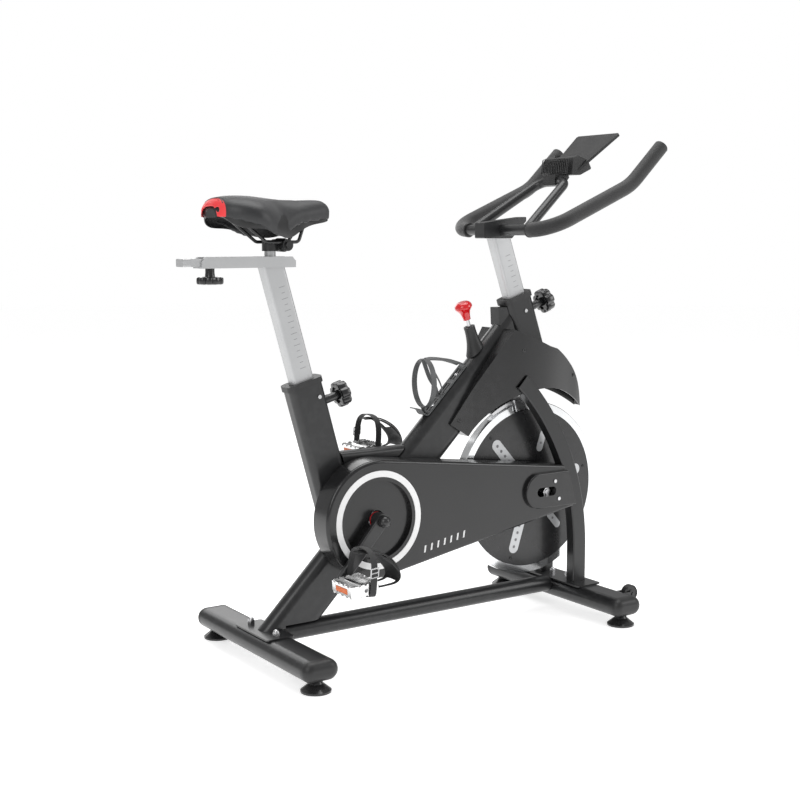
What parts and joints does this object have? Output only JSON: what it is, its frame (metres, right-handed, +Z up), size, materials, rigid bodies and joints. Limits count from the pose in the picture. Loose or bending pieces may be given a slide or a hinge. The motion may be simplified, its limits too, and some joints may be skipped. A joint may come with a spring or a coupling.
{
  "type": "indoor spin bike",
  "caption": "Belt-driven indoor spin bike with a heavy front flywheel, sliding saddle, height-adjustable bars, push brake, toe-clip pedals and transport wheels.",
  "frame": {"origin": "on the floor at the centre of the bike's bounding box", "axes": "+X towards the flywheel and handlebar end, +Y to the rider's left, +Z up; the belt drive is on the -Y side"},
  "size_m": [1.1276, 0.492, 1.1254],
  "materials": {
    "frame_paint": "satin black powder coat",
    "crank_paint": "semi-gloss black paint",
    "disc_paint": "semi-gloss dark paint",
    "post_silver": "light silver satin paint",
    "flywheel_steel": "polished plated rim",
    "bearing_steel": "ground steel",
    "zinc_steel": "bright zinc plate",
    "pulley_alloy": "machined",
    "pedal_alloy": "polished alloy",
    "cover_plastic": "satin-gloss moulded black",
    "white_trim": "gloss white",
    "black_plastic": "fine moulded texture",
    "cage_plastic": "smooth grey",
    "knob_plastic": "gloss black",
    "foot_plastic": "gloss black",
    "wheel_plastic": "hard black",
    "brake_red": "gloss red",
    "belt_rubber": "ribbed black",
    "grip_foam": "matte black foam",
    "saddle_cover": "matte dark grey vinyl, red tail patch"
  },
  "bodies": {
    "frame": {"rear_stabiliser": "frame_paint", "front_stabiliser": "frame_paint", "stabiliser_end_caps": "black_plastic", "bottom_tube": "frame_paint", "main_beam": "frame_paint", "seat_tube": "frame_paint", "brace_tube": "frame_paint", "head_tube": "frame_paint", "fork_leg_left": "frame_paint", "fork_leg_right": "frame_paint", "frame_plates": "frame_paint", "crank_shell": "frame_paint", "post_collars": "black_plastic", "bearings": "bearing_steel", "flywheel_axle": "bearing_steel", "fasteners": "zinc_steel", "small_screws": "zinc_steel", "belt_cover_outer": "cover_plastic", "belt_cover_inner": "cover_plastic", "cover_trim_ring": "white_trim", "drive_belt": "belt_rubber", "shroud_left": "cover_plastic", "shroud_right": "cover_plastic", "brake_housing": "black_plastic", "bottle_cage": "cage_plastic"},
    "crankset": {"crank_spindle": "bearing_steel", "crank_arm_right": "crank_paint", "crank_arm_left": "crank_paint", "crank_pulley": "pulley_alloy", "pedal_axles": "bearing_steel"},
    "pedal_right": {"pedal_cage_right": "pedal_alloy", "toe_clip_right": "black_plastic"},
    "pedal_left": {"pedal_cage_left": "pedal_alloy", "toe_clip_left": "black_plastic"},
    "flywheel": {"flywheel_discs": "disc_paint", "flywheel_rim": "flywheel_steel", "flywheel_hub": "pulley_alloy"},
    "seat_column": {"seat_post": "post_silver"},
    "seat_slider": {"slider_bar": "post_silver", "saddle_clamp": "frame_paint"},
    "saddle": {"saddle_rails": "frame_paint", "saddle_pad": "saddle_cover", "saddle_shell": "black_plastic"},
    "seat_pull_knob": {"seat_height_knob": "knob_plastic"},
    "slider_turn_knob": {"slider_knob": "knob_plastic"},
    "bar_column": {"handlebar_post": "post_silver", "handlebar_bracket": "frame_paint", "handlebar_tube": "frame_paint", "handlebar_loop": "frame_paint", "grips": "grip_foam", "tablet_holder": "black_plastic"},
    "bar_pull_knob": {"handlebar_height_knob": "knob_plastic"},
    "brake": {"brake_rod": "zinc_steel"},
    "brake_handle": {"brake_knob": "brake_red"},
    "glide_rear_left": {"foot_rear_left": "foot_plastic"},
    "glide_rear_right": {"foot_rear_right": "foot_plastic"},
    "glide_front_left": {"foot_front_left": "foot_plastic"},
    "glide_front_right": {"foot_front_right": "foot_plastic"},
    "roller_left": {"transport_wheel_left": "wheel_plastic"},
    "roller_right": {"transport_wheel_right": "wheel_plastic"}
  },
  "joints": [
    {"name": "flywheel_spin", "type": "hinge", "parent": "frame", "child": "flywheel", "pos_m": [0.31335, 0, 0.2994], "axis": [0, 1, 0], "continuous": true},
    {"name": "crank_spin", "type": "hinge", "parent": "frame", "child": "crankset", "pos_m": [-0.15365, 0, 0.29], "axis": [0, 1, 0], "continuous": true},
    {"name": "pedal_right_spin", "type": "hinge", "parent": "crankset", "child": "pedal_right", "pos_m": [-0.25437, -0.1465, 0.17616], "axis": [0, 1, 0], "continuous": true},
    {"name": "pedal_left_spin", "type": "hinge", "parent": "crankset", "child": "pedal_left", "pos_m": [-0.05293, 0.1465, 0.40384], "axis": [0, 1, 0], "continuous": true},
    {"name": "seat_height", "type": "slide", "parent": "frame", "child": "seat_column", "axis": [-0.274, 0, 0.9617], "range_m": [-0.13, 0.06]},
    {"name": "seat_reach", "type": "slide", "parent": "seat_column", "child": "seat_slider", "axis": [1, 0, 0], "range_m": [-0.06, 0.03]},
    {"name": "saddle_tilt", "type": "hinge", "parent": "seat_slider", "child": "saddle", "pos_m": [-0.33765, 0, 0.87], "axis": [0, 1, 0], "range_deg": [-8, 8]},
    {"name": "seat_knob_pull", "type": "slide", "parent": "frame", "child": "seat_pull_knob", "axis": [0.9617, 0, 0.274], "range_m": [0, 0.01], "stiffness_N_per_m": 1500, "springref_m": -0.004},
    {"name": "slider_knob_turn", "type": "hinge", "parent": "seat_column", "child": "slider_turn_knob", "pos_m": [-0.49865, 0, 0.81], "axis": [0, 0, 1], "range_deg": [0, 720]},
    {"name": "handlebar_height", "type": "slide", "parent": "frame", "child": "bar_column", "axis": [-0.3289, 0, 0.9444], "range_m": [-0.06, 0.05]},
    {"name": "bar_knob_pull", "type": "slide", "parent": "frame", "child": "bar_pull_knob", "axis": [0.9444, 0, 0.3289], "range_m": [0, 0.01], "stiffness_N_per_m": 1500, "springref_m": -0.004},
    {"name": "brake_push", "type": "slide", "parent": "frame", "child": "brake", "axis": [0.342, 0, -0.9397], "range_m": [0, 0.0035], "stiffness_N_per_m": 4000, "springref_m": -0.003},
    {"name": "brake_knob_turn", "type": "hinge", "parent": "brake", "child": "brake_handle", "pos_m": [0.12735, 0, 0.727], "axis": [-0.342, 0, 0.9397], "range_deg": [-540, 540]},
    {"name": "foot_rear_left_turn", "type": "hinge", "parent": "frame", "child": "glide_rear_left", "pos_m": [-0.38965, 0.215, 0.02], "axis": [0, 0, 1], "continuous": true},
    {"name": "foot_rear_right_turn", "type": "hinge", "parent": "frame", "child": "glide_rear_right", "pos_m": [-0.38965, -0.215, 0.02], "axis": [0, 0, 1], "continuous": true},
    {"name": "foot_front_left_turn", "type": "hinge", "parent": "frame", "child": "glide_front_left", "pos_m": [0.42195, 0.215, 0.02], "axis": [0, 0, 1], "continuous": true},
    {"name": "foot_front_right_turn", "type": "hinge", "parent": "frame", "child": "glide_front_right", "pos_m": [0.42195, -0.215, 0.02], "axis": [0, 0, 1], "continuous": true},
    {"name": "wheel_left_spin", "type": "hinge", "parent": "frame", "child": "roller_left", "pos_m": [0.48435, 0.176, 0.056], "axis": [0, 1, 0], "continuous": true},
    {"name": "wheel_right_spin", "type": "hinge", "parent": "frame", "child": "roller_right", "pos_m": [0.48435, -0.176, 0.056], "axis": [0, 1, 0], "continuous": true}
  ],
  "couplings": [
    {"joint": "crank_spin", "follows": "flywheel_spin", "ratio": 0.25}
  ]
}
